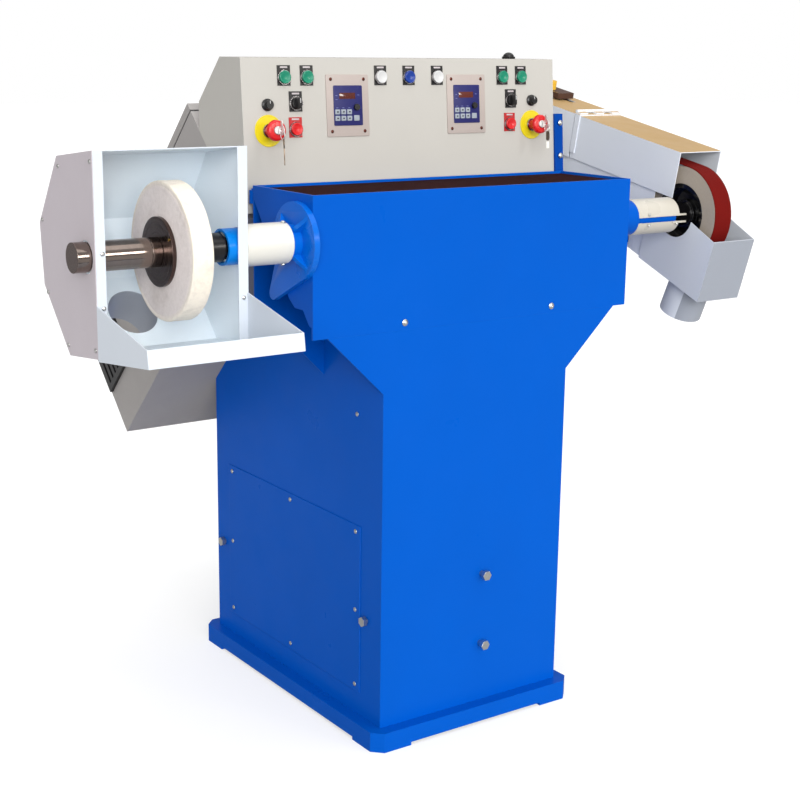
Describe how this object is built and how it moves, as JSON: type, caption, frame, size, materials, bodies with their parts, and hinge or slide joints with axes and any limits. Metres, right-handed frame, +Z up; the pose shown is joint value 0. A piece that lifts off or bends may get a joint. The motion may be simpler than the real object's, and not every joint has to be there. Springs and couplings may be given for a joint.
{
  "type": "pedestal buffing and belt grinding machine",
  "caption": "Double-ended pedestal finishing machine with a hooded buffing wheel, an abrasive-belt arm and a tilted control cabinet.",
  "frame": {"origin": "on the floor, under the middle of the column, centre of the floor anchor holes", "axes": "+X along the spindles from the buffing wheel to the abrasive belt, +Y from the operator to the back, +Z up"},
  "size_m": [1.582, 1.2454, 1.417],
  "materials": {
    "blue_paint": "gloss powder coat",
    "light_blue_paint": "gloss paint",
    "white_paint": "satin powder coat",
    "cream_paint": "satin powder coat",
    "pale_grey_paint": "satin powder coat",
    "tan_paint": "satin powder coat",
    "grey_paint": "fine-textured powder coat",
    "mat_rubber": "matt",
    "black_rubber": "matt",
    "zinc_steel": "zinc plated",
    "polished_steel": "turned and polished",
    "cast_motor": "painted casting",
    "cast_iron": "turned",
    "brown_casting": "brown enamel",
    "black_hub": "gloss enamel",
    "aluminium": "turned",
    "buff_felt": "stitched cotton, worn in",
    "abrasive_cloth": "coated abrasive on cloth",
    "grey_tyre": "matt, moulded",
    "black_plastic": "satin",
    "grey_plastic": "satin",
    "white_plastic": "gloss",
    "green_plastic": "gloss",
    "blue_plastic": "gloss",
    "red_plastic": "gloss",
    "yellow_plastic": "satin"
  },
  "bodies": {
    "frame": {"base_plate": "blue_paint", "column_shell": "blue_paint", "head_cover": "blue_paint", "top_mat": "mat_rubber", "access_panel": "blue_paint", "pedestal_screws": "zinc_steel", "guard_screws": "zinc_steel", "jacking_bolts": "zinc_steel", "left_spindle_housing": "light_blue_paint", "right_spindle_housing": "blue_paint", "left_tube_guard": "white_paint", "right_tube_guard": "cream_paint", "spindle_bearings": "polished_steel", "left_motor": "cast_motor", "right_motor": "cast_motor", "drive_belts": "black_rubber", "hood_shell": "white_paint", "hood_side_panel": "white_paint", "hood_tray": "white_paint", "hood_duct": "white_paint", "cabinet_shell": "grey_paint", "cabinet_fittings": "black_plastic", "cabinet_equipment": "white_plastic", "console_box": "grey_paint", "support_brackets": "blue_paint", "legend_plates": "black_plastic", "estop_discs": "yellow_plastic", "drive_keypads": "grey_plastic", "arm_trough": "tan_paint", "arm_guard": "tan_paint", "dust_box": "pale_grey_paint", "abrasive_belt": "abrasive_cloth"},
    "left_spindle": {"left_shaft": "polished_steel", "buff_wheel": "buff_felt", "left_spindle_pulley": "cast_iron"},
    "left_motor_rotor": {"left_motor_pulley": "cast_iron"},
    "right_spindle": {"right_shaft": "polished_steel", "contact_hub": "black_hub", "contact_tyre": "grey_tyre", "right_spindle_pulley": "cast_iron"},
    "right_motor_rotor": {"right_motor_pulley": "cast_iron"},
    "tension_slide": {"tension_slide": "brown_casting"},
    "idler": {"idler_wheel": "aluminium"},
    "cabinet_door": {"cabinet_door": "grey_paint"},
    "arm_cover": {"arm_cover": "tan_paint"},
    "green_button_1": {"green_button_1": "green_plastic"},
    "green_button_2": {"green_button_2": "green_plastic"},
    "green_button_3": {"green_button_3": "green_plastic"},
    "green_button_4": {"green_button_4": "green_plastic"},
    "white_button_1": {"white_button_1": "white_plastic"},
    "white_button_2": {"white_button_2": "white_plastic"},
    "blue_button": {"blue_button": "blue_plastic"},
    "red_button_1": {"red_button_1": "red_plastic"},
    "red_button_2": {"red_button_2": "red_plastic"},
    "estop_left": {"estop_left": "red_plastic"},
    "estop_right": {"estop_right": "red_plastic"},
    "selector_left": {"selector_left": "black_plastic"},
    "selector_right": {"selector_right": "black_plastic"},
    "speed_knob_left": {"speed_knob_left": "black_plastic"},
    "speed_knob_right": {"speed_knob_right": "black_plastic"}
  },
  "joints": [
    {"name": "left_spindle_spin", "type": "hinge", "parent": "frame", "child": "left_spindle", "pos_m": [-0.6, -0.3, 1.066], "axis": [1, 0, 0], "continuous": true},
    {"name": "left_motor_spin", "type": "hinge", "parent": "frame", "child": "left_motor_rotor", "pos_m": [-0.195, -0.19, 0.25], "axis": [1, 0, 0], "continuous": true},
    {"name": "right_spindle_spin", "type": "hinge", "parent": "frame", "child": "right_spindle", "pos_m": [0.6, -0.3, 1.066], "axis": [1, 0, 0], "continuous": true},
    {"name": "right_motor_spin", "type": "hinge", "parent": "frame", "child": "right_motor_rotor", "pos_m": [0.195, 0.11, 0.25], "axis": [1, 0, 0], "continuous": true},
    {"name": "tension_slide_travel", "type": "slide", "parent": "frame", "child": "tension_slide", "axis": [0, 0.9823, 0.1874], "range_m": [-0.025, 0], "stiffness_N_per_m": 3000, "springref_m": 0.02},
    {"name": "idler_spin", "type": "hinge", "parent": "tension_slide", "child": "idler", "pos_m": [0.632, 0.45457, 1.27306], "axis": [1, 0, 0], "continuous": true},
    {"name": "cabinet_door_hinge", "type": "hinge", "parent": "frame", "child": "cabinet_door", "pos_m": [-0.4115, 0.4094, 1.00872], "axis": [0, -0.7071, 0.7071], "range_deg": [0, 120]},
    {"name": "arm_cover_hinge", "type": "hinge", "parent": "frame", "child": "arm_cover", "pos_m": [0.657, 0.04757, 1.27992], "axis": [-1, 0, 0], "range_deg": [0, 70]},
    {"name": "green_button_1_press", "type": "slide", "parent": "frame", "child": "green_button_1", "axis": [0, 0.9969, -0.079], "range_m": [0, 0.004], "stiffness_N_per_m": 400},
    {"name": "green_button_2_press", "type": "slide", "parent": "frame", "child": "green_button_2", "axis": [0, 0.9969, -0.079], "range_m": [0, 0.004], "stiffness_N_per_m": 400},
    {"name": "green_button_3_press", "type": "slide", "parent": "frame", "child": "green_button_3", "axis": [0, 0.9969, -0.079], "range_m": [0, 0.004], "stiffness_N_per_m": 400},
    {"name": "green_button_4_press", "type": "slide", "parent": "frame", "child": "green_button_4", "axis": [0, 0.9969, -0.079], "range_m": [0, 0.004], "stiffness_N_per_m": 400},
    {"name": "white_button_1_press", "type": "slide", "parent": "frame", "child": "white_button_1", "axis": [0, 0.9969, -0.079], "range_m": [0, 0.004], "stiffness_N_per_m": 400},
    {"name": "white_button_2_press", "type": "slide", "parent": "frame", "child": "white_button_2", "axis": [0, 0.9969, -0.079], "range_m": [0, 0.004], "stiffness_N_per_m": 400},
    {"name": "blue_button_press", "type": "slide", "parent": "frame", "child": "blue_button", "axis": [0, 0.9969, -0.079], "range_m": [0, 0.004], "stiffness_N_per_m": 400},
    {"name": "red_button_1_press", "type": "slide", "parent": "frame", "child": "red_button_1", "axis": [0, 0.9969, -0.079], "range_m": [0, 0.004], "stiffness_N_per_m": 400},
    {"name": "red_button_2_press", "type": "slide", "parent": "frame", "child": "red_button_2", "axis": [0, 0.9969, -0.079], "range_m": [0, 0.004], "stiffness_N_per_m": 400},
    {"name": "estop_left_press", "type": "slide", "parent": "frame", "child": "estop_left", "axis": [0, 0.9969, -0.079], "range_m": [0, 0.005], "stiffness_N_per_m": 600},
    {"name": "estop_right_press", "type": "slide", "parent": "frame", "child": "estop_right", "axis": [0, 0.9969, -0.079], "range_m": [0, 0.005], "stiffness_N_per_m": 600},
    {"name": "selector_left_turn", "type": "hinge", "parent": "frame", "child": "selector_left", "pos_m": [-0.284, -0.09413, 1.313], "axis": [0, -0.9969, 0.079], "range_deg": [-45, 45]},
    {"name": "selector_right_turn", "type": "hinge", "parent": "frame", "child": "selector_right", "pos_m": [0.27, -0.09405, 1.314], "axis": [0, -0.9969, 0.079], "range_deg": [-45, 45]},
    {"name": "speed_knob_left_turn", "type": "hinge", "parent": "frame", "child": "speed_knob_left", "pos_m": [-0.35, -0.09429, 1.311], "axis": [0, -0.9969, 0.079], "range_deg": [-135, 135]},
    {"name": "speed_knob_right_turn", "type": "hinge", "parent": "frame", "child": "speed_knob_right", "pos_m": [0.3285, -0.09409, 1.3135], "axis": [0, -0.9969, 0.079], "range_deg": [-135, 135]}
  ],
  "couplings": [
    {"joint": "left_motor_spin", "follows": "left_spindle_spin", "ratio": 1},
    {"joint": "right_motor_spin", "follows": "right_spindle_spin", "ratio": 1},
    {"joint": "idler_spin", "follows": "right_spindle_spin", "ratio": 2.3656}
  ]
}
